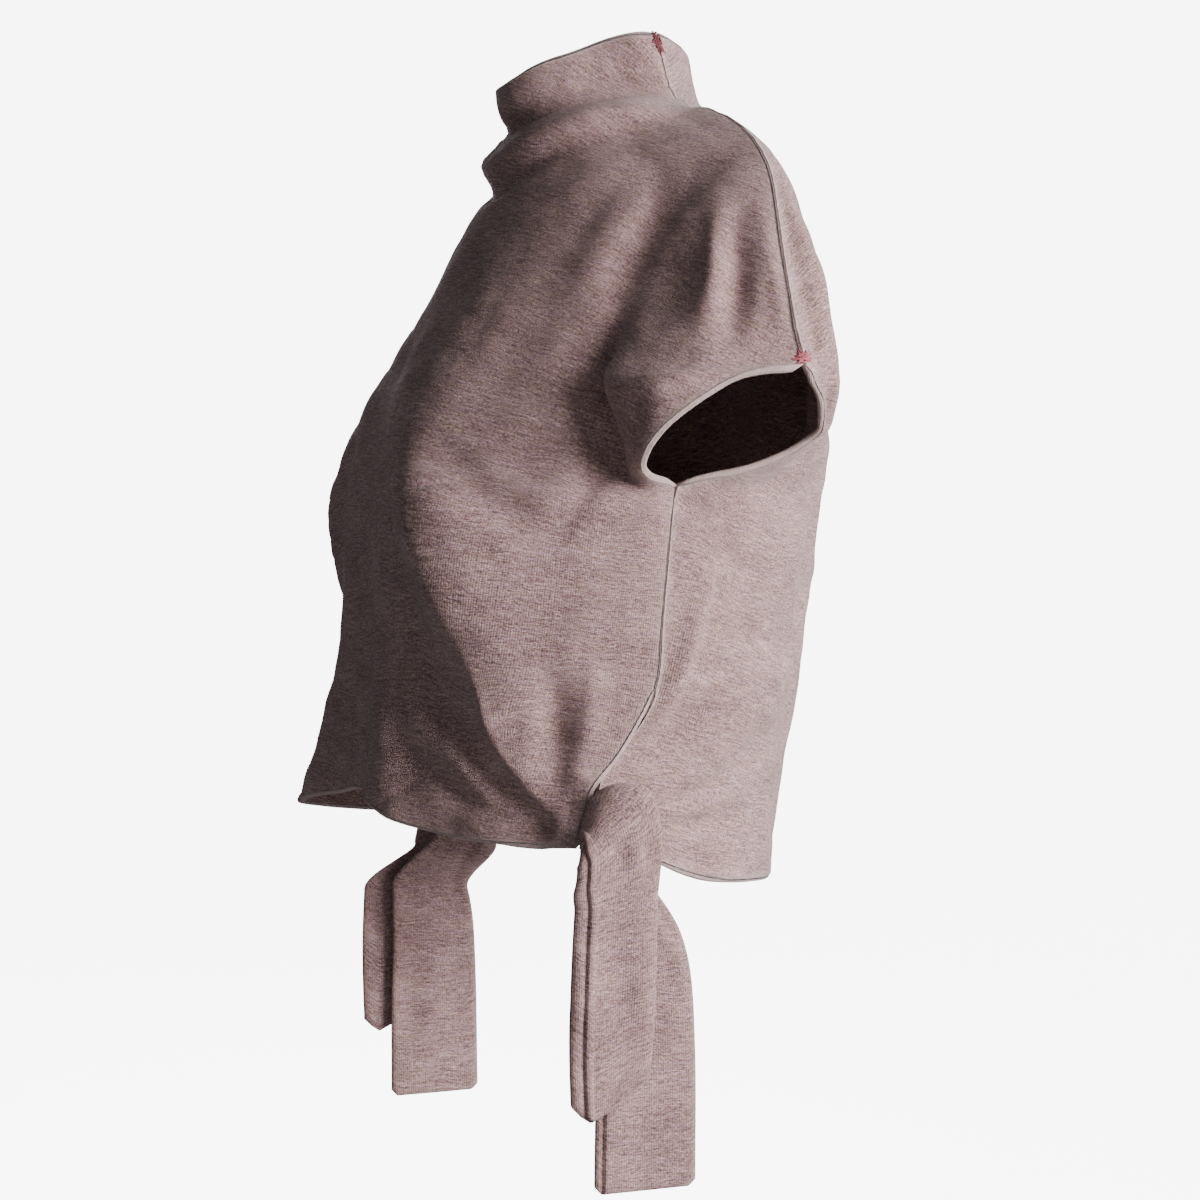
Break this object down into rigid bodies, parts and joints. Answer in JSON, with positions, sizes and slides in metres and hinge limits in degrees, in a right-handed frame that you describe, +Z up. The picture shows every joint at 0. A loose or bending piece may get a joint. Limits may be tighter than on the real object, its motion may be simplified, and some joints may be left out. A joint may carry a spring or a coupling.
{
  "type": "mock neck top",
  "caption": "Hollow worn top of thick heather knit with a stand-up neck, cut-in-one cap sleeves, and side seams left open low down, where front and back ties are knotted.",
  "frame": {"origin": "middle of the ring where the neck stands on the shoulders, at the height of the neck ends of the shoulder seams", "axes": "+Z up, -Y to the wearer's front, +X to the wearer's left"},
  "size_m": [0.4636, 0.3052, 0.7177],
  "materials": {
    "front": "brushed heather knit",
    "back": "brushed heather knit",
    "tie_front_left": "brushed heather knit",
    "tie_front_right": "brushed heather knit",
    "tie_back_left": "brushed heather knit",
    "tie_back_right": "brushed heather knit"
  },
  "bodies": {
    "root": {"front": "front", "back": "back", "tie_front_left": "tie_front_left", "tie_front_right": "tie_front_right", "tie_back_left": "tie_back_left", "tie_back_right": "tie_back_right"}
  },
  "joints": []
}
